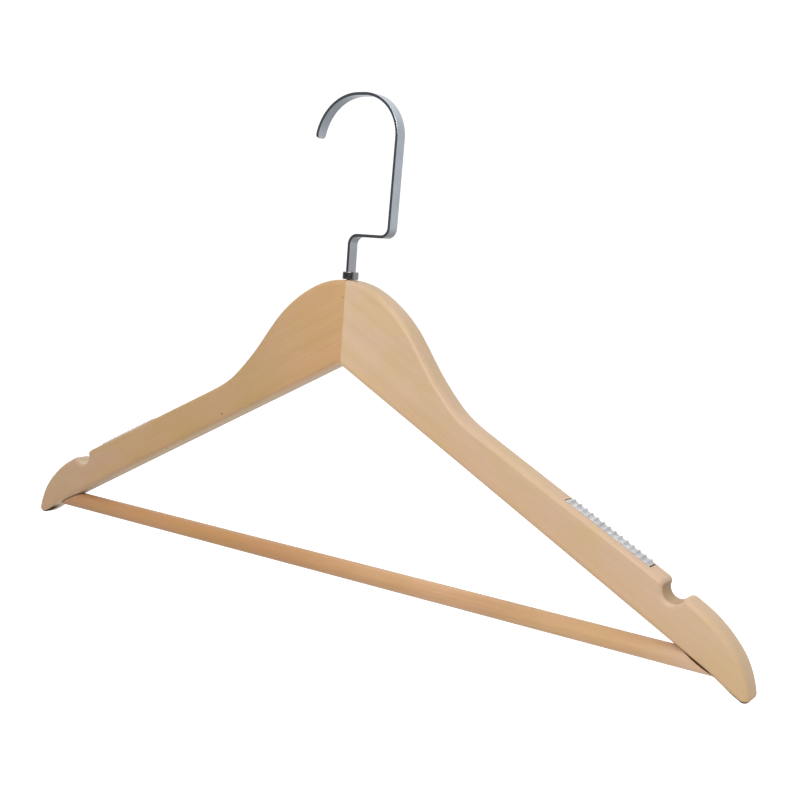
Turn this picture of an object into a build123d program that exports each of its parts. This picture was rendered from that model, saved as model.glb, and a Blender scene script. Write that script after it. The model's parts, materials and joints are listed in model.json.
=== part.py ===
from build123d import *
from math import atan, cos, degrees, radians, sin, tan
import os

# Flat wooden clothes hanger with a swivelling flat-strip hook. Millimetres.
# Heights in this file are above the crotch, the top of the V under the two arms, with X
# along the hanger and -Y the front. save() then moves every piece so that the origin is
# the crown inside the hook, where the hanger hangs on a rail.

# Wooden arms
WIDTH = 440.0
THICKNESS = 12.0
EDGE_RADIUS = 2.6           # rounding of the long edges
DOME_TOP = (0.0, 41.9)
NECK_POINTS = [(20.0, 36.8), (40.0, 21.4), (54.0, 3.1), (67.0, -11.5)]
SHOULDER_START = (85.0, -23.7)
SHOULDER_SLOPE = 0.506      # fall for each millimetre outwards
LOBE_START_X = 188.0
LOBE_POINTS = [(200.0, -82.6), (209.6, -91.0), (216.1, -100.0), (218.7, -106.5)]
TIP_RADIUS = 2.8
TIP_CENTRE_Z = -112.0
TIP_START_ANGLE = 10.0      # where the lobe meets the tip's round, above the horizontal
TIP_END_ANGLE = -116.0      # where the tip's round meets the underside
UNDERSIDE_ANGLE = 27.7
UNDERSIDE_END_X = 200.0
CROTCH_RISE = 0.3           # where the undersides would meet without their rounding
CROTCH_RADIUS = 4.0
FINGER_COUNT = 4
FINGER_REACH = 1.8          # how far a finger of the centre joint crosses the middle

# Strap notches
NOTCH_X = 184.2
NOTCH_RADIUS = 4.9
NOTCH_SINK = 1.1            # centre below the shoulder line
NOTCH_RIM = 2.6             # rounding of the notch's two rims

# Ribbed grip strips
GRIP_X = 150.1
GRIP_LENGTH = 48.0
GRIP_WIDTH = 6.4
GROOVE_DEPTH = 2.2
GRIP_RISE = 0.4             # top of the strip's base above the wood
GRIP_END_GAP = 0.7          # left open at each end of the groove
RIB_COUNT = 14
RIB_PITCH = 3.3
RIB_BASE = 2.7
RIB_TIP = 0.5
RIB_HEIGHT = 0.9

# Trouser bar and its pins
BAR_DIAMETER = 9.4
BAR_Z = -103.4
BAR_GAP = 0.5               # glue gap between the slanted end and the arm
BAR_PIN_DIAMETER = 2.0
BAR_PIN_LENGTH = 26.0
BAR_PIN_X = 199.0

# Hook strip, a flat bar bent on its wide face
STRIP_WIDTH = 6.4
STRIP_THICKNESS = 1.5
STRIP_EDGE = 0.25
STRIP_TIP_RADIUS = 2.0
CROWN_Z = 132.0             # middle of the strip at the top of the hook
RISER_ARC = (3.1, 20.8)     # centre X and radius, to the middle of the strip
NOSE_ARC = (-0.5, 24.2)
NOSE_SWEEP = 83.0           # from the crown down to the open end
RISER_LEAN = 1.0            # degrees outwards
JOG_Z = 64.0
JOG_BEND = 4.5

# Collar, swivel pin and threaded sleeve
COLLAR_DIAMETER = 8.0
COLLAR_HEIGHT = 3.7
COLLAR_CHAMFER = 0.35
SLOT_DEPTH = 2.5
SWIVEL_DIAMETER = 4.0
SWIVEL_CLEARANCE = 0.05
SLEEVE_TOP = 41.6
SLEEVE_LENGTH = 22.0
SLEEVE_ROOT = 6.2
SLEEVE_CREST = 7.4
THREAD_PITCH = 2.0
WASHER_DIAMETER = 6.2
WASHER_THICKNESS = 0.6
HEAD_DIAMETER = 5.6
HEAD_HEIGHT = 1.4
BORE_BOTTOM = 14.0
RUNNING_GAP = 0.3           # between pieces that turn past each other
FIT_GAP = 0.02              # around pieces that are glued, pressed or welded in

HALF = WIDTH / 2
SEAT = ((RISER_ARC[0] + NOSE_ARC[0]) / 2, CROWN_Z - STRIP_THICKNESS / 2)
COLLAR_BOTTOM = DOME_TOP[1] + RUNNING_GAP
SLOT_BOTTOM = COLLAR_BOTTOM + COLLAR_HEIGHT - SLOT_DEPTH
SLEEVE_BOTTOM = SLEEVE_TOP - SLEEVE_LENGTH
WASHER_BOTTOM = SLEEVE_BOTTOM - RUNNING_GAP - WASHER_THICKNESS


def underside_z(x):
    return CROTCH_RISE - x * tan(radians(UNDERSIDE_ANGLE))


def shoulder_z(x):
    return SHOULDER_START[1] - SHOULDER_SLOPE * (x - SHOULDER_START[0])


def shoulder_place(x, side):
    """Place on a shoulder line, local X along the shoulder and local Z out of the wood."""
    return Location((side * x, 0, shoulder_z(x)), (0, side * degrees(atan(SHOULDER_SLOPE)), 0))


def upright(radius, bottom, top):
    """Round bar on the swivel axis."""
    return Pos(0, 0, (bottom + top) / 2) * Cylinder(radius, top - bottom)


def arm_outline():
    """Closed outline of one arm, from the middle of the hanger out to the tip."""
    angle = radians(UNDERSIDE_ANGLE)
    crotch_x = CROTCH_RADIUS * sin(angle)
    crotch_end = (crotch_x, underside_z(crotch_x))
    crotch_top = (0, CROTCH_RISE - CROTCH_RADIUS * (1 / cos(angle) - 1))
    underside_end = (UNDERSIDE_END_X, underside_z(UNDERSIDE_END_X))
    lobe_start = (LOBE_START_X, shoulder_z(LOBE_START_X))
    tip = CenterArc(
        (HALF - TIP_RADIUS, TIP_CENTRE_Z), TIP_RADIUS,
        TIP_START_ANGLE, TIP_END_ANGLE - TIP_START_ANGLE)
    along_shoulder = (1, -SHOULDER_SLOPE)
    up_underside = (-cos(angle), sin(angle))
    return make_face([
        Spline(DOME_TOP, *NECK_POINTS, SHOULDER_START, tangents=[(1, 0), along_shoulder]),
        Line(SHOULDER_START, lobe_start),
        Spline(lobe_start, *LOBE_POINTS, tip @ 0, tangents=[along_shoulder, tip % 0]),
        tip,
        Spline(tip @ 1, underside_end, tangents=[tip % 1, up_underside]),
        Line(underside_end, crotch_end),
        TangentArc(crotch_end, crotch_top, tangent=up_underside),
        Line(crotch_top, DOME_TOP),
    ])


def rounded_blank():
    """Both arms as one plank with its long edges rounded."""
    arm = Plane.XZ * arm_outline()
    plank = extrude(arm + mirror(arm, Plane.YZ), THICKNESS / 2, both=True)
    long_edges = plank.edges().filter_by_position(Axis.Y, -THICKNESS / 2, -THICKNESS / 2)
    long_edges += plank.edges().filter_by_position(Axis.Y, THICKNESS / 2, THICKNESS / 2)
    return fillet(long_edges, EDGE_RADIUS)


def cut_notch(blank, side):
    """Strap notch in one shoulder, with a softened rim."""
    centre = shoulder_place(NOTCH_X, side) * Pos(0, 0, -NOTCH_SINK)
    notched = blank - centre * Rot(90, 0, 0) * Cylinder(NOTCH_RADIUS, 2 * THICKNESS)
    wall = notched.faces().filter_by(GeomType.CYLINDER).sort_by_distance(centre.position)[0]
    return fillet(wall.edges(), NOTCH_RIM)


def grip_groove(side):
    depth = GROOVE_DEPTH + THICKNESS
    place = shoulder_place(GRIP_X, side) * Pos(0, 0, depth / 2 - GROOVE_DEPTH)
    return place * Box(GRIP_LENGTH, GRIP_WIDTH, depth)


def bar_pin(side, radius):
    return Pos(side * BAR_PIN_X, 0, BAR_Z) * Rot(0, 90, 0) * Cylinder(radius, BAR_PIN_LENGTH)


def cut_blank():
    """The plank of both arms with every notch, groove and hole."""
    blank = rounded_blank()
    for side in (-1, 1):
        blank = cut_notch(blank, side)
        blank -= grip_groove(side)
        blank -= bar_pin(side, BAR_PIN_DIAMETER / 2 + FIT_GAP)
    return blank - upright(SLEEVE_CREST / 2 + FIT_GAP, BORE_BOTTOM, DOME_TOP[1] + 1)


def joint_side(side):
    """Everything on one side of the centre joint, whose fingers cross the middle in turn."""
    depth = THICKNESS / FINGER_COUNT
    reach = 2 * HALF
    slabs = Part()
    for i in range(FINGER_COUNT):
        start = FINGER_REACH if i % 2 == 0 else -FINGER_REACH
        y = -THICKNESS / 2 + (i + 0.5) * depth
        slabs += Pos(start + side * reach / 2, y, 0) * Box(reach, depth, reach)
    return slabs


def trouser_bar():
    """Round bar whose ends slant to lie along the arms' undersides."""
    drop = BAR_GAP / cos(radians(UNDERSIDE_ANGLE))
    triangle = Plane.XZ * make_face(Polyline(
        (0, CROTCH_RISE - drop),
        (WIDTH, underside_z(WIDTH) - drop),
        (-WIDTH, underside_z(WIDTH) - drop),
        close=True,
    ))
    bar = Pos(0, 0, BAR_Z) * Rot(0, 90, 0) * Cylinder(BAR_DIAMETER / 2, WIDTH)
    bar = bar & extrude(triangle, THICKNESS, both=True)
    for side in (-1, 1):
        bar -= bar_pin(side, BAR_PIN_DIAMETER / 2 + FIT_GAP)
    return bar


def bar_pins():
    return Part() + [bar_pin(side, BAR_PIN_DIAMETER / 2) for side in (-1, 1)]


def grip_strip(side):
    """Rubber strip in a shoulder groove, with pointed ribs across it."""
    width = GRIP_WIDTH - 2 * FIT_GAP
    base_height = GRIP_RISE + GROOVE_DEPTH - FIT_GAP
    base = Box(GRIP_LENGTH - 2 * GRIP_END_GAP, width, base_height)
    base = Pos(0, 0, GRIP_RISE - base_height / 2) * base
    rib_outline = Polyline(
        (-RIB_BASE / 2, -base_height / 2),
        (RIB_BASE / 2, -base_height / 2),
        (RIB_BASE / 2, 0),
        (RIB_TIP / 2, RIB_HEIGHT),
        (-RIB_TIP / 2, RIB_HEIGHT),
        (-RIB_BASE / 2, 0),
        close=True,
    )
    rib = Pos(0, 0, GRIP_RISE) * extrude(Plane.XZ * make_face(rib_outline), width / 2, both=True)
    ribs = [Pos((i - (RIB_COUNT - 1) / 2) * RIB_PITCH, 0, 0) * rib for i in range(RIB_COUNT)]
    return shoulder_place(GRIP_X, side) * (base + ribs)


def arc_from_crown(centre_x, radius, start_angle, sweep):
    """Arc of the hook whose highest point is at the crown's height."""
    return CenterArc((centre_x, CROWN_Z - radius), radius, start_angle, sweep)


def hook_strip():
    """Flat strip: shank in the collar, a jog sideways, a riser and the crown over the rail."""
    riser_arc = arc_from_crown(*RISER_ARC, -RISER_LEAN, 90 + RISER_LEAN)
    nose_arc = arc_from_crown(*NOSE_ARC, 90, NOSE_SWEEP)
    riser_top = riser_arc @ 0
    riser_foot_x = riser_top.X - (riser_top.Y - JOG_Z) * tan(radians(RISER_LEAN))
    foot = (0, SLOT_BOTTOM + FIT_GAP)
    shank_and_riser = FilletPolyline(
        foot, (0, JOG_Z), (riser_foot_x, JOG_Z), riser_top, radius=JOG_BEND)
    crown = Line(riser_arc @ 1, nose_arc @ 0)
    pieces = [shank_and_riser, riser_arc, crown, nose_arc]
    path = Plane.XZ * Wire([edge for piece in pieces for edge in piece.edges()])
    section = Pos(0, 0, foot[1]) * Rectangle(STRIP_THICKNESS, STRIP_WIDTH)
    strip = sweep(section, path=path)
    tip = path.position_at(1)
    tip_corners = strip.edges().filter_by(GeomType.LINE).sort_by_distance(tip)
    tip_corners = [e for e in tip_corners if abs(e.length - STRIP_THICKNESS) < 0.01][:2]
    strip = fillet(tip_corners, STRIP_TIP_RADIUS)
    faces = strip.faces().filter_by(Axis.Y)
    return fillet(faces.edges(), STRIP_EDGE)


def hook_collar():
    """Round ferrule, slotted on top for the strip and bored below for the swivel pin."""
    collar = upright(COLLAR_DIAMETER / 2, COLLAR_BOTTOM, COLLAR_BOTTOM + COLLAR_HEIGHT)
    collar = chamfer(collar.edges().filter_by(GeomType.CIRCLE), COLLAR_CHAMFER)
    slot = Box(STRIP_THICKNESS + 2 * FIT_GAP, STRIP_WIDTH + 2 * FIT_GAP, 2 * SLOT_DEPTH)
    collar -= Pos(0, 0, COLLAR_BOTTOM + COLLAR_HEIGHT) * slot
    return collar - upright(SWIVEL_DIAMETER / 2 + FIT_GAP, COLLAR_BOTTOM - 1, SLOT_BOTTOM + 1)


def swivel_pin():
    """Pin that turns in the sleeve, with a riveted head under its washer."""
    shaft = upright(SWIVEL_DIAMETER / 2, WASHER_BOTTOM - HEAD_HEIGHT, SLOT_BOTTOM)
    head = upright(HEAD_DIAMETER / 2, WASHER_BOTTOM - HEAD_HEIGHT, WASHER_BOTTOM)
    head = fillet(head.edges().group_by(Axis.Z)[0], HEAD_HEIGHT / 2)
    return shaft + head


def pin_washer():
    top = WASHER_BOTTOM + WASHER_THICKNESS
    washer = upright(WASHER_DIAMETER / 2, WASHER_BOTTOM, top)
    return washer - upright(SWIVEL_DIAMETER / 2 + FIT_GAP, WASHER_BOTTOM, top)


def threaded_sleeve():
    """Threaded bush screwed into the neck; its thread is modelled as rings."""
    turns = int(SLEEVE_LENGTH / THREAD_PITCH)
    bore = SWIVEL_DIAMETER / 2 + SWIVEL_CLEARANCE
    points = [(bore, SLEEVE_TOP), (bore, SLEEVE_BOTTOM), (SLEEVE_ROOT / 2, SLEEVE_BOTTOM)]
    for i in range(turns):
        ring = SLEEVE_BOTTOM + i * THREAD_PITCH
        points.append((SLEEVE_CREST / 2, ring + THREAD_PITCH / 2))
        points.append((SLEEVE_ROOT / 2, ring + THREAD_PITCH))
    profile = Plane.XZ * make_face(Polyline(*points, close=True))
    return revolve(profile, Axis.Z)


def save(name, shape):
    placed = Pos(-SEAT[0], 0, -SEAT[1]) * shape
    export_step(placed, f"parts/{name}.step")


os.makedirs("parts", exist_ok=True)
arms = cut_blank()
save("left_arm", arms & joint_side(-1))
save("right_arm", arms & joint_side(1))
save("left_grip_strip", grip_strip(-1))
save("right_grip_strip", grip_strip(1))
save("trouser_bar", trouser_bar())
save("bar_pins", bar_pins())
save("threaded_sleeve", threaded_sleeve())
save("hook_strip", hook_strip())
save("hook_collar", hook_collar())
save("swivel_pin", swivel_pin())
save("pin_washer", pin_washer())
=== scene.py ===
import json
import math

import bmesh
import bpy
from mathutils import Matrix, Vector

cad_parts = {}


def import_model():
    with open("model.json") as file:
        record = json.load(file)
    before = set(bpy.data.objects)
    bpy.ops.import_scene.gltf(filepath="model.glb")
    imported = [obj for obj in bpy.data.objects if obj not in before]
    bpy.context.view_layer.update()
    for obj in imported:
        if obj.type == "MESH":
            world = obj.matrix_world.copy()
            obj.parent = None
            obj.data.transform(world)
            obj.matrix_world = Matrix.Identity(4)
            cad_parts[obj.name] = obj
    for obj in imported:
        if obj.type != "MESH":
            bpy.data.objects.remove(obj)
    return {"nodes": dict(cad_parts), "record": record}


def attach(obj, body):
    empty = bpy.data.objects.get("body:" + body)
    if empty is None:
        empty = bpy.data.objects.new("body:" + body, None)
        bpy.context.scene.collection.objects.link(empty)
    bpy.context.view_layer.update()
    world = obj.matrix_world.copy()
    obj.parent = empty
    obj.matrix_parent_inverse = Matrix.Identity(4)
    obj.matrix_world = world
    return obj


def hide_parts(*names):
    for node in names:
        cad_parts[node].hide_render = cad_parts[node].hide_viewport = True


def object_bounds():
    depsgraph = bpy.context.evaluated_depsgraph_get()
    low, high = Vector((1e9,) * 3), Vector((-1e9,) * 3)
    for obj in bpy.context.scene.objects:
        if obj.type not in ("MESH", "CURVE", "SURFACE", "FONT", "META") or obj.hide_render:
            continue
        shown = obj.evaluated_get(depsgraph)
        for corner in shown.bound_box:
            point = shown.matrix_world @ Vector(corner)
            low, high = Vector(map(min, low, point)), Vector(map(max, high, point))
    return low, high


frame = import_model()
cad_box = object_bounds()
nodes = frame["nodes"]
record = frame["record"]

# Flat wooden hanger with a swivelling chrome hook. Metres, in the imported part's own frame.
# The crotch is the corner under the neck, where the two arms meet.
swivel = Vector(record["behaviour"]["joints"][0]["pos_m"])
CROTCH_BELOW_JOINT = 0.042
crotch = swivel - Vector((0, 0, CROTCH_BELOW_JOINT))

SHOULDER_TILT = math.atan(0.506)        # fall of both shoulders
ARM_SLOPE = math.radians(27.7)          # underside of both arms, and their grain
FRONT_FACE = -0.006                     # front faces of the arms
NOTCH_OUT = 0.1837                      # strap notch, sideways from the crotch
NOTCH_HEIGHT = -0.0750                  # strap notch, upwards from the crotch
NOTCH_RADIUS = 0.0049
GAP_SHADE_REACH = 0.0057                     # painted shade round the bar's ends, reach from the middle plane
SHANK_REFLECTION_SHADE_TOP = swivel.z + 0.014       # painted darker reflection on the hook's shank below this height


# ---------------------------------------------------------------- node helpers
class Graph:
    """Short names for building one material's node tree."""

    def __init__(self, name):
        self.material = bpy.data.materials.new(name)
        self.material.use_nodes = True
        self.tree = self.material.node_tree
        self.shader = self.tree.nodes["Principled BSDF"]

    def node(self, kind, inputs=None, **settings):
        made = self.tree.nodes.new("ShaderNode" + kind)
        for key, value in settings.items():
            setattr(made, key, value)
        for key, value in (inputs or {}).items():
            self.feed(made.inputs[key], value)
        return made

    def feed(self, socket, value):
        if isinstance(value, bpy.types.NodeSocket):
            self.tree.links.new(value, socket)
        else:
            socket.default_value = value

    def set(self, **inputs):
        for key, value in inputs.items():
            self.feed(self.shader.inputs[key.replace("_", " ")], value)

    def place(self):
        """The shaded point, in the piece's own coordinates."""
        return self.node("TexCoord").outputs["Object"]

    def axis(self, vector, letter):
        return self.node("SeparateXYZ", {0: vector}).outputs[letter]

    def facing(self, letter):
        """How far the surface faces along one of the piece's own axes, from -1 to 1."""
        return self.axis(self.node("TexCoord").outputs["Normal"], letter)

    def mapped(self, vector, **settings):
        inputs = {key.capitalize(): value for key, value in settings.items()}
        return self.node("Mapping", {"Vector": vector, **inputs}).outputs[0]

    def noise(self, where, scale=1.0, detail=3.0, rough=0.5, distort=0.0):
        made = self.node("TexNoise", {"Vector": where, "Scale": scale, "Detail": detail,
                                      "Roughness": rough, "Distortion": distort})
        return made.outputs["Fac"]

    def span(self, value, low, high, to_low=0.0, to_high=1.0):
        """Maps low..high to to_low..to_high, clamped."""
        made = self.node("MapRange", {"Value": value, "From Min": low, "From Max": high,
                                      "To Min": to_low, "To Max": to_high})
        return made.outputs["Result"]

    def calc(self, operation, a, b=0.0):
        return self.node("Math", {0: a, 1: b}, operation=operation).outputs[0]

    def mix(self, fac, a, b, blend="MIX"):
        made = self.node("Mix", data_type="RGBA", blend_type=blend)
        self.feed(made.inputs["Factor"], fac)
        for socket, value in ((made.inputs[6], a), (made.inputs[7], b)):
            self.feed(socket, value if isinstance(value, bpy.types.NodeSocket) else (*value, 1))
        return made.outputs[2]

    def tint(self, colour, factors):
        return self.mix(1.0, colour, factors, "MULTIPLY")

    def distance(self, vector, point):
        return self.node("VectorMath", {0: vector, 1: point}, operation="DISTANCE").outputs["Value"]

    def bump(self, height, distance, strength=1.0, normal=None):
        inputs = {"Height": height, "Distance": distance, "Strength": strength}
        if normal is not None:
            inputs["Normal"] = normal
        return self.node("Bump", inputs).outputs[0]


# ---------------------------------------------------------------- wood
# Tones of each board: pale and deep figure near the middle, then the shoulder, then the outer end.
LEFT_TONES = ((0.56, 0.338, 0.168), (0.48, 0.296, 0.135), (0.440, 0.284, 0.147), (0.445, 0.298, 0.193))
RIGHT_TONES = ((0.60, 0.428, 0.265), (0.55, 0.385, 0.230), (0.570, 0.392, 0.243), (0.590, 0.408, 0.255))
BAR_TONES = ((0.64, 0.400, 0.218), (0.515, 0.300, 0.146), (0.455, 0.235, 0.100), (0.390, 0.212, 0.103))

# Painted bounce light: a pale tone for the arms' faces turned downwards.
PAINTED_BOUNCE_UNDERSIDE = (0.62, 0.52, 0.39)
# Painted shade under the tips.
PAINTED_SHADE_UNDER_TIPS = (0.05, 0.030, 0.018)
LEFT_NOTCH_PAINTED_HIGHLIGHT = (0.52, 0.41, 0.28)    # painted highlight on the left notch's wall
# Painted shade on the right notch's wall.
RIGHT_NOTCH_PAINTED_SHADE = (0.37, 0.225, 0.100)
# Painted bounce light on the bar's right end, from the arm.
PAINTED_BOUNCE_BAR_END = (0.66, 0.455, 0.325)
GAP_SHADE_LEFT = (0.46, 0.24, 0.11)          # painted shade in the gap at the bar's left end, lighter
GAP_SHADE_RIGHT = (0.27, 0.135, 0.062)       # painted shade in the gap at its right end, darker
MARK_TONE = (0.10, 0.055, 0.03)
COAT = 0.22
SPECULAR = 0.35

# Natural marks on the left arm: sideways and up from the crotch, and radius.
NATURAL_MARKS = [(-0.0750, -0.0350, 0.0008), (0.0007, 0.0333, 0.0005)]


def wood(name, tones, side, seed):
    """Pale fine-grained hardwood under clear satin lacquer, as its graph and its colour.

    side is -1 or 1 for an arm, whose grain follows its slope and whose tones run outwards. It is
    0 for the straight bar, whose tones run towards its left end.
    """
    pale, deep, shoulder, end = tones
    g = Graph(name)
    along_x = g.axis(g.place(), "X")
    out = g.calc("ABSOLUTE", along_x) if side else g.calc("MULTIPLY", along_x, -1.0)
    turned = g.mapped(g.place(), rotation=(0, -side * ARM_SLOPE, 0))
    board = g.mapped(turned, location=(seed, seed * 0.7, seed * 0.3))

    clouds = g.noise(g.mapped(board, scale=(16, 30, 30)), detail=2)
    figure = g.noise(g.mapped(board, scale=(9, 110, 110)), detail=4, distort=0.8)
    mottle = g.noise(g.mapped(board, scale=(36, 62, 62)), detail=3)
    streaks = g.noise(g.mapped(board, scale=(18, 900, 900)), detail=3, rough=0.6)
    pores = g.noise(g.mapped(board, scale=(420, 3600, 3600)), detail=1)

    tone = g.calc("ADD", g.span(clouds, 0.3, 0.7, 0.20, 0.80), g.span(figure, 0.3, 0.7, -0.20, 0.20))
    tone = g.calc("ADD", tone, g.span(streaks, 0.35, 0.65, -0.07, 0.07))
    colour = g.mix(tone, deep, pale)
    inner, outer = (0.0, 0.060) if side else (-0.070, 0.020)
    colour = g.mix(g.span(out, inner, outer, 0.0, 0.88), colour, shoulder)
    colour = g.mix(g.span(out, 0.13, 0.20, 0.0, 0.90), colour, end)
    golden = g.tint(colour, (0.97, 0.985, 0.90))
    pinkish = g.tint(colour, (1.01, 0.995, 1.07))
    colour = g.mix(g.span(mottle, 0.36, 0.64), golden, pinkish)
    lines = g.calc("ADD", g.span(streaks, 0.36, 0.64, 0.0, 0.6), g.span(figure, 0.34, 0.66, 0.0, 0.4))
    darker = g.tint(colour, (0.970, 0.962, 0.942))
    lighter = g.tint(colour, (1.023, 1.027, 1.037))
    colour = g.mix(lines, darker, lighter)

    if side:
        colour = warm_underside_painted_bounce(g, colour, turned, side)
        colour = notch_painted_light(g, colour, side)
        if side > 0:
            # Painted shade in the gap round the bar's right end.
            colour = painted_gap_shade(g, colour, out)
        # Painted shade under the tips, with coat and specular taken away there.
        tip_shade = painted_tip_shade_mask(g, out, side)
        colour = g.mix(tip_shade, colour, PAINTED_SHADE_UNDER_TIPS)
        g.set(Coat_Weight=g.span(tip_shade, 0, 1, COAT, 0.0),
              Specular_IOR_Level=g.span(tip_shade, 0, 1, SPECULAR, 0.0))
    else:
        g.set(Coat_Weight=COAT, Specular_IOR_Level=SPECULAR)
    colour = g.mix(g.span(pores, 0.66, 0.76, 0.0, 0.10), colour, tuple(c * 0.55 for c in deep))

    grain = g.bump(streaks, 0.00005, 0.30)
    pits = g.bump(g.span(pores, 0.64, 0.76, 1.0, 0.0), 0.00004, 0.35, grain)
    g.set(Roughness=g.span(clouds, 0.3, 0.7, 0.40, 0.50), Normal=pits, Coat_Roughness=0.27)
    return g, colour


def warm_underside_painted_bounce(g, colour, turned, side):
    """Warmer along the arm's straight underside, and paler on faces turned downwards: painted bounce
    light.
    """
    underside = crotch.z * math.cos(ARM_SLOPE) + side * crotch.x * math.sin(ARM_SLOPE)
    above = g.calc("SUBTRACT", g.axis(turned, "Z"), underside)
    warm = g.tint(colour, (1.0, 0.90, 0.74))
    colour = g.mix(g.span(above, 0.001, 0.012, 0.35, 0.0), colour, warm)
    # Painted bounce light: faces turned downwards are mixed towards a pale tone.
    return g.mix(g.span(g.facing("Z"), -0.86, -0.50, 0.45, 0.0), colour, PAINTED_BOUNCE_UNDERSIDE)


def painted_gap_shade(g, colour, out):
    """Painted shade, dark brown, on the arm's underside round the slanted end of the bar, where the gap
    is.
    """
    depth = g.calc("ABSOLUTE", g.axis(g.place(), "Y"))
    beside_bar = g.span(depth, GAP_SHADE_REACH, GAP_SHADE_REACH + 0.0002, 1.0, 0.0)
    along = g.calc("MULTIPLY", g.span(out, 0.1840, 0.1850), g.span(out, 0.2050, 0.2065, 1.0, 0.0))
    under = g.calc("MULTIPLY", g.span(g.facing("Z"), -0.62, -0.45, 1.0, 0.0), beside_bar)
    return g.mix(g.calc("MULTIPLY", under, along), colour, GAP_SHADE_RIGHT)


def painted_tip_shade_mask(g, out, side):
    """Painted shade on the downward faces under the tips, strongest towards the front."""
    full, none = (-0.65, -0.40) if side > 0 else (-0.80, -0.60)
    below = g.calc("MULTIPLY", g.span(g.facing("Z"), full, none, 1.0, 0.0), g.span(out, 0.206, 0.211))
    return g.calc("MULTIPLY", below, g.span(g.axis(g.place(), "Y"), -0.0010, 0.0015, 1.0, 0.0))


def notch_painted_light(g, colour, side):
    """Painted light on the wall of the strap notch: painted shade on the right arm's, a painted
    highlight on the left arm's.
    """
    middle = crotch + Vector((side * NOTCH_OUT, 0, NOTCH_HEIGHT))
    flat = g.node("VectorMath", {0: g.place(), 1: (1, 0, 1)}, operation="MULTIPLY").outputs[0]
    off = g.distance(flat, (middle.x, 0, middle.z))
    wall = g.span(off, NOTCH_RADIUS + 0.0001, NOTCH_RADIUS + 0.0007, 0.8, 0.0)
    return g.mix(wall, colour, RIGHT_NOTCH_PAINTED_SHADE if side > 0 else LEFT_NOTCH_PAINTED_HIGHLIGHT)


def arm_wood(name, tones, side, seed, marks=()):
    g, colour = wood(name, tones, side, seed)
    for x, z, radius in marks:
        off = g.distance(g.place(), crotch + Vector((x, FRONT_FACE, z)))
        colour = g.mix(g.span(off, radius * 0.4, radius, 0.75, 0.0), colour, MARK_TONE)
    g.set(Base_Color=colour)
    return g.material


def bar_wood(name, tones, seed):
    """The turned bar, painted paler near its right end as painted bounce light from the arm, and with
    painted shade in the gaps at both slanted ends.
    """
    g, colour = wood(name, tones, 0, seed)
    along = g.axis(g.place(), "X")
    # Painted bounce light towards the bar's right end.
    colour = g.mix(g.span(along, 0.165, 0.192, 0.0, 0.55), colour, PAINTED_BOUNCE_BAR_END)
    # Painted shade on the bar's slanted end faces, seen only in the gaps.
    bar_end_faces = g.span(g.calc("ABSOLUTE", g.facing("X")), 0.25, 0.35)
    gap_shade_tone = g.mix(g.span(along, -0.05, 0.05), GAP_SHADE_LEFT, GAP_SHADE_RIGHT)
    g.set(Base_Color=g.mix(bar_end_faces, colour, gap_shade_tone))
    return g.material


# ---------------------------------------------------------------- metal and rubber
HOOK_TINT = (0.51, 0.555, 0.61)
COLLAR_TINT = (0.30, 0.30, 0.31)
# Painted darker reflection for the lower shank.
PAINTED_DARK_REFLECTION = (0.385, 0.40, 0.425)
# One rubber in two copies: the left is painted darker and warmer, painted shade and painted warm light
# from the wood under it.
SHADED_WARM_LEFT_RUBBER = ((0.49, 0.445, 0.43), (0.59, 0.545, 0.52))
LIT_RIGHT_RUBBER = ((0.42, 0.42, 0.44), (0.58, 0.58, 0.60))


def chrome(name, tint, painted_dark_below=-1.0):
    """Polished plate with faint drawing lines and hairline wear, painted darker below one height as a
    painted darker reflection.
    """
    g = Graph(name)
    haze = g.noise(g.place(), 160, detail=4)
    lines = g.noise(g.mapped(g.place(), scale=(3000, 3000, 120)), detail=2)
    rough = g.calc("ADD", g.span(haze, 0.35, 0.7, 0.10, 0.17), g.span(lines, 0.4, 0.7, 0.0, 0.05))
    colour = g.mix(g.span(haze, 0.3, 0.75), tint, tuple(c * 0.88 for c in tint))
    darker_reflection = g.span(g.axis(g.place(), "Z"), painted_dark_below, painted_dark_below + 0.012, 1.0, 0.0)
    g.set(Base_Color=g.mix(darker_reflection, colour, PAINTED_DARK_REFLECTION), Metallic=1.0, Roughness=rough,
          Normal=g.bump(lines, 0.00001, 0.08))
    return g.material


def turned_metal(name, tint, rough):
    """Lathe-turned metal, with fine rings round the upright axis."""
    g = Graph(name)
    rings = g.noise(g.mapped(g.place(), scale=(200, 200, 9000)), detail=2)
    colour = g.mix(g.span(rings, 0.3, 0.7), tint, tuple(c * 0.82 for c in tint))
    g.set(Base_Color=colour, Metallic=1.0, Roughness=g.span(rings, 0.3, 0.7, rough, rough + 0.12),
          Normal=g.bump(rings, 0.00002, 0.3))
    return g.material


def rubber(name, deep, pale):
    """Translucent whitish rubber with a fine moulded skin."""
    g = Graph(name)
    cloud = g.noise(g.place(), 260, detail=3)
    skin = g.noise(g.place(), 4200, detail=2)
    g.set(Base_Color=g.mix(g.span(cloud, 0.3, 0.7), deep, pale),
          Roughness=g.span(skin, 0.3, 0.7, 0.30, 0.42), Normal=g.bump(skin, 0.00002, 0.4),
          Subsurface_Weight=0.3, Subsurface_Scale=0.002, Subsurface_Radius=(1.0, 1.0, 1.0))
    return g.material


def dress(node, material):
    mesh = nodes[node].data
    mesh.materials.clear()
    mesh.materials.append(material)


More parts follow.
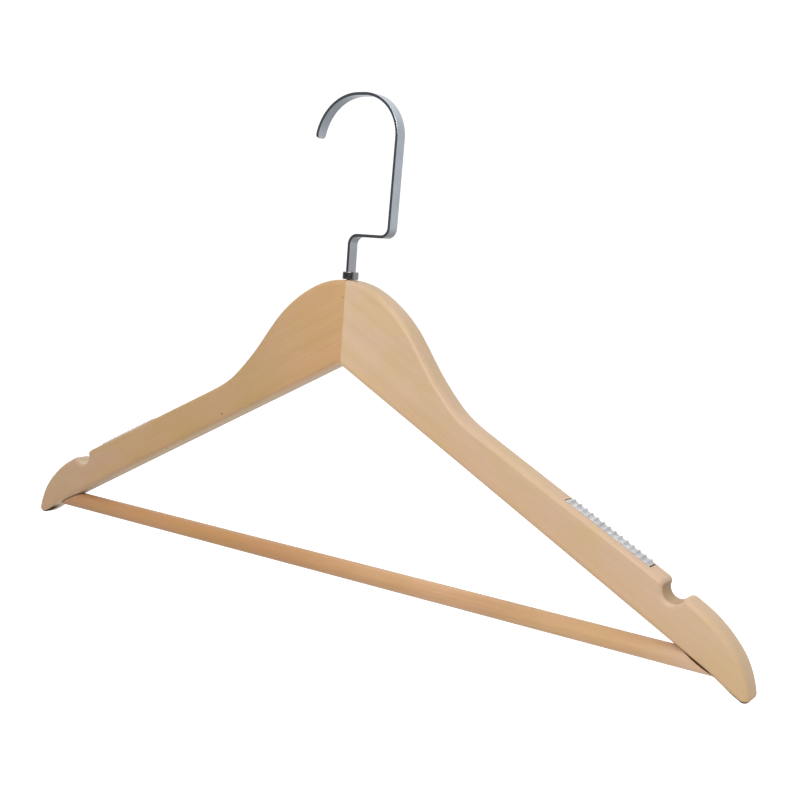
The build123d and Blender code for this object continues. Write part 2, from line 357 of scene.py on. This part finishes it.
dress("left_arm", arm_wood("left_arm_wood", LEFT_TONES, -1, 1.3, NATURAL_MARKS))
dress("right_arm", arm_wood("right_arm_wood", RIGHT_TONES, 1, 4.1))
dress("trouser_bar", bar_wood("bar_wood", BAR_TONES, 7.7))
dress("hook_strip", chrome("hook_chrome", HOOK_TINT, SHANK_REFLECTION_SHADE_TOP))
dress("hook_collar", chrome("collar_chrome", COLLAR_TINT))
dress("swivel_pin", turned_metal("pin_steel_turned", (0.60, 0.60, 0.61), 0.25))
dress("pin_washer", turned_metal("washer_steel", (0.56, 0.56, 0.57), 0.30))
dress("threaded_sleeve", turned_metal("sleeve_brass", (0.72, 0.55, 0.27), 0.22))
dress("bar_pins", turned_metal("bar_pin_steel", (0.52, 0.52, 0.53), 0.30))


# ---------------------------------------------------------------- rubber grip strips
RIB_COUNT = 14
RIB_PITCH = 0.0033
RIB_FOOT = 0.0026           # length of one rib along the shoulder
RIB_RISE = 0.0009
RIB_HOLLOW = 1.3            # above 1, the ribs' flanks are hollow
STEPS_PER_RIB = 12
ACROSS = 10                 # faces across the strip's top
END_ROUNDING = 0.0005
EDGE_ROUNDING = 0.0007
CORNER_DROP = 0.00025


def soft_step(value):
    value = min(1.0, max(0.0, value))
    return value * value * (3 - 2 * value)


def rib_stations(half_length):
    """Places along the strip: its two ends, and the steps of every rib between them."""
    steps = range(RIB_COUNT * STEPS_PER_RIB + 1)
    inner = [(i / STEPS_PER_RIB - RIB_COUNT / 2) * RIB_PITCH for i in steps]
    return [-half_length] + [u for u in inner if abs(u) < half_length - 0.0001] + [half_length]


def rib_height(u, v, half_length, half_width):
    """Height of the strip's top over the foot of its ribs, u along it and v across it."""
    nearest = round(u / RIB_PITCH - 0.5) + 0.5
    along = 1 - abs(u - nearest * RIB_PITCH) / (RIB_FOOT / 2)
    rib = RIB_RISE * soft_step(along) ** RIB_HOLLOW if abs(nearest) < RIB_COUNT / 2 else 0.0
    end = soft_step((half_length - abs(u)) / END_ROUNDING)
    edge = soft_step((half_width - abs(v)) / EDGE_ROUNDING)
    return rib * (0.25 + 0.75 * edge) - CORNER_DROP * (2 - end - edge)


def grip_strip(name, node, side, tones):
    """Moulded strip with pointed ribs and soft corners, filling the box of the plain one."""
    turn = Matrix.Rotation(side * SHOULDER_TILT, 4, "Y")
    flat = [turn.inverted() @ v.co for v in nodes[node].data.vertices]
    low = Vector([min(v[i] for v in flat) for i in range(3)])
    high = Vector([max(v[i] for v in flat) for i in range(3)])
    middle = (low + high) / 2
    half_length = (high.x - low.x) / 2
    half_width = (high.y - low.y) / 2
    bottom = low.z - middle.z
    rib_foot = high.z - RIB_RISE - middle.z

    mesh = bmesh.new()
    rows = []
    for u in rib_stations(half_length):
        row = [mesh.verts.new((u, -half_width, bottom))]
        for j in range(ACROSS + 1):
            v = half_width * math.sin((j / ACROSS - 0.5) * math.pi)
            row.append(mesh.verts.new((u, v, rib_foot + rib_height(u, v, half_length, half_width))))
        row.append(mesh.verts.new((u, half_width, bottom)))
        rows.append(row)
    for first, second in zip(rows, rows[1:]):
        for j in range(len(first)):
            k = (j + 1) % len(first)
            mesh.faces.new((first[j], second[j], second[k], first[k]))
    mesh.faces.new(rows[0])
    mesh.faces.new(reversed(rows[-1]))
    bmesh.ops.recalc_face_normals(mesh, faces=mesh.faces)
    data = bpy.data.meshes.new(name)
    mesh.to_mesh(data)
    mesh.free()
    data.shade_smooth()
    data.set_sharp_from_angle(angle=math.radians(50))
    data.materials.append(rubber(name + "_rubber", *tones))
    strip = bpy.data.objects.new(name, data)
    strip.matrix_world = turn @ Matrix.Translation(middle)
    bpy.context.collection.objects.link(strip)
    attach(strip, "hanger")
    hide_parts(node)


grip_strip("left_ribbed_grip", "left_grip_strip", -1, SHADED_WARM_LEFT_RUBBER)
grip_strip("right_ribbed_grip", "right_grip_strip", 1, LIT_RIGHT_RUBBER)


# ---------------------------------------------------------------- stage, light and camera
FLOOR_DROP = 1.1
FLOOR_SIZE = 14
CAMERA_PLACE = Vector((0.3589, -0.4781, 0.0574))        # from the crotch
CAMERA_YAW = math.radians(34.12)
CAMERA_PITCH = math.radians(7.01)                       # looking down
CAMERA_ROLL = math.radians(4.21)


def floor():
    bpy.ops.mesh.primitive_plane_add(size=FLOOR_SIZE, location=(0, 0, cad_box[0].z - FLOOR_DROP))
    plane = bpy.context.object
    plane.name = "studio_floor"
    g = Graph("pale_floor")
    speckle = g.noise(g.place(), 40, detail=3)
    seen = g.node("LightPath").outputs["Is Camera Ray"]
    g.set(Base_Color=g.mix(speckle, (0.92, 0.92, 0.92), (0.95, 0.95, 0.95)), Roughness=0.8,
          Emission_Color=(1, 1, 1, 1), Emission_Strength=g.span(seen, 0, 1, 0.15, 0.6))
    plane.data.materials.append(g.material)
    plane.visible_glossy = False


def softbox(name, where, aim, size, watts, shows=True):
    """A square lamp; shows says whether glossy surfaces mirror it."""
    data = bpy.data.lights.new(name, "AREA")
    data.shape = "SQUARE"
    data.size = size
    data.energy = watts
    lamp = bpy.data.objects.new(name, data)
    lamp.location = where
    lamp.rotation_euler = (aim - where).to_track_quat("-Z", "Y").to_euler()
    lamp.visible_glossy = shows
    bpy.context.collection.objects.link(lamp)


def world():
    """White to the camera; a room that is dark in front and pale behind for everything else."""
    room = bpy.data.worlds.new("studio")
    room.use_nodes = True
    bpy.context.scene.world = room
    tree = room.node_tree
    tree.nodes.clear()

    def node(kind, **settings):
        made = tree.nodes.new("ShaderNode" + kind)
        for key, value in settings.items():
            setattr(made, key, value)
        return made

    def joined(operation, a, b):
        made = node("Math", operation=operation)
        tree.links.new(a, made.inputs[0])
        tree.links.new(b, made.inputs[1])
        return made.outputs[0]

    def graded(direction, low, high, dark, pale):
        """Light that grows from dark to pale along a direction."""
        dot = node("VectorMath", operation="DOT_PRODUCT")
        tree.links.new(node("TexCoord").outputs["Generated"], dot.inputs[0])
        dot.inputs[1].default_value = Vector(direction).normalized()
        ramp = node("MapRange", interpolation_type="SMOOTHSTEP")
        tree.links.new(dot.outputs["Value"], ramp.inputs["Value"])
        for key, value in zip(("From Min", "From Max", "To Min", "To Max"), (low, high, dark, pale)):
            ramp.inputs[key].default_value = value
        return ramp.outputs["Result"]

    back = graded((0.2, 0.98, 0), low=-0.35, high=0.15, dark=0.13, pale=0.80)
    below = graded((0, 0, 1), low=-0.7, high=0.05, dark=0.60, pale=1.0)
    top = graded((0, 0, 1), low=0.25, high=0.8, dark=0.0, pale=0.31)
    room_light = node("Background")
    room_light.inputs["Color"].default_value = (1, 1, 1, 1)
    brightness = joined("ADD", joined("MULTIPLY", back, below), top)
    tree.links.new(brightness, room_light.inputs["Strength"])
    white = node("Background")
    white.inputs["Color"].default_value = (1, 1, 1, 1)
    white.inputs["Strength"].default_value = 1.1
    pick = node("MixShader")
    tree.links.new(node("LightPath").outputs["Is Camera Ray"], pick.inputs[0])
    tree.links.new(room_light.outputs[0], pick.inputs[1])
    tree.links.new(white.outputs[0], pick.inputs[2])
    tree.links.new(pick.outputs[0], node("OutputWorld").inputs[0])


def camera():
    data = bpy.data.cameras.new("camera")
    data.lens = 54
    data.sensor_width = 36
    made = bpy.data.objects.new("camera", data)
    turn = (Matrix.Rotation(CAMERA_YAW, 4, "Z")
            @ Matrix.Rotation(math.radians(90) - CAMERA_PITCH, 4, "X")
            @ Matrix.Rotation(CAMERA_ROLL, 4, "Z"))
    made.matrix_world = Matrix.Translation(crotch + CAMERA_PLACE) @ turn
    bpy.context.collection.objects.link(made)
    bpy.context.scene.camera = made


floor()
world()
middle = (cad_box[0] + cad_box[1]) / 2
softbox("key", middle + Vector((0.25, -1.35, 0.72)), middle, size=0.7, watts=11.4)
softbox("fill", middle + Vector((-0.4, -1.35, 0.55)), middle, size=0.9, watts=6.9, shows=False)
softbox("overhead", middle + Vector((-0.1, -0.2, 1.5)), middle, size=1.0, watts=5.2)
camera()
bpy.context.scene.view_settings.view_transform = "Standard"
